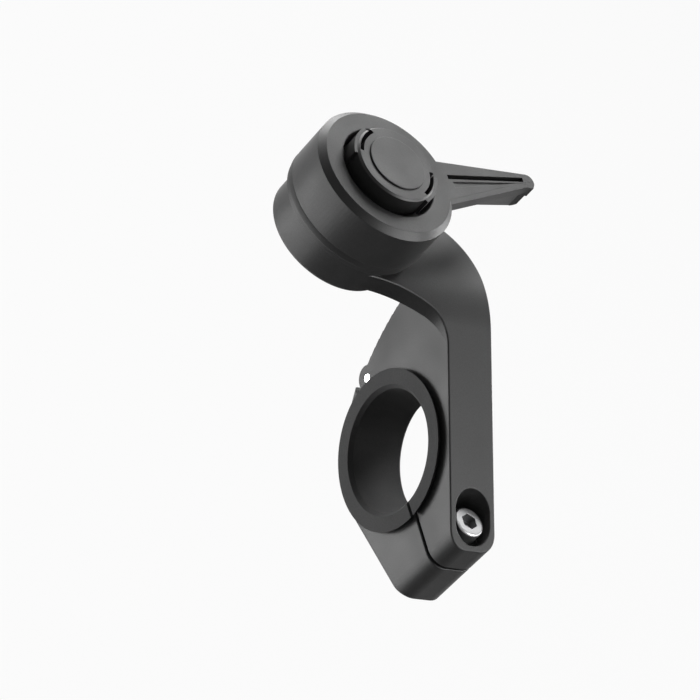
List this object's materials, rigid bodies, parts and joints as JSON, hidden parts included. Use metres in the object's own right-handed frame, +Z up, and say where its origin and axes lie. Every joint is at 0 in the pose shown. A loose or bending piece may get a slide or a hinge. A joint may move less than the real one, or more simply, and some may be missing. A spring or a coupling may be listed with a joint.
{
  "type": "out-front phone mount",
  "caption": "Handlebar phone mount: hinged clamp ring, cranked arm and a bayonet head with a spring-loaded release sleeve and lever.",
  "frame": {"origin": "middle of the handlebar bore, on the bore's axis and halfway across the clamp", "axes": "+X forward along the bicycle, +Y along the handlebar to the side the head is offset to, +Z up, square to the face that carries the phone"},
  "size_m": [0.0984, 0.0682, 0.0813],
  "materials": {
    "arm_plastic": "fine matte moulded texture, dark grey",
    "sleeve_plastic": "fine matte moulded texture, dark grey",
    "post_plastic": "satin moulded, dark grey",
    "shim_plastic": "matte moulded, dark grey",
    "steel": "bright plain steel",
    "brass": "turned brass"
  },
  "bodies": {
    "arm": {"arm": "arm_plastic", "bar_shim": "shim_plastic", "hinge_pin": "steel", "locking_post": "post_plastic", "post_cap": "post_plastic", "post_screw": "steel", "base_cover": "arm_plastic", "cover_screws": "steel", "return_spring": "steel"},
    "jaw": {"clamp_jaw": "arm_plastic", "jaw_insert": "brass"},
    "bolt": {"clamp_bolt": "steel"},
    "sleeve": {"release_sleeve": "sleeve_plastic"}
  },
  "joints": [
    {"name": "sleeve_press", "type": "slide", "parent": "arm", "child": "sleeve", "axis": [0, 0, -1], "range_m": [0, 0.0022], "stiffness_N_per_m": 2000, "springref_m": -0.004, "deforming": ["return_spring"]},
    {"name": "jaw_open", "type": "hinge", "parent": "arm", "child": "jaw", "pos_m": [0.0231, 0, -0.001], "axis": [0, -1, 0], "range_deg": [0, 60]},
    {"name": "bolt_withdraw", "type": "slide", "parent": "arm", "child": "bolt", "axis": [0, 0, 1], "range_m": [0, 0.02]}
  ],
  "couplings": [
    {"joint": "bolt_withdraw", "follows": "jaw_open", "m_per_rad": 0.019}
  ]
}
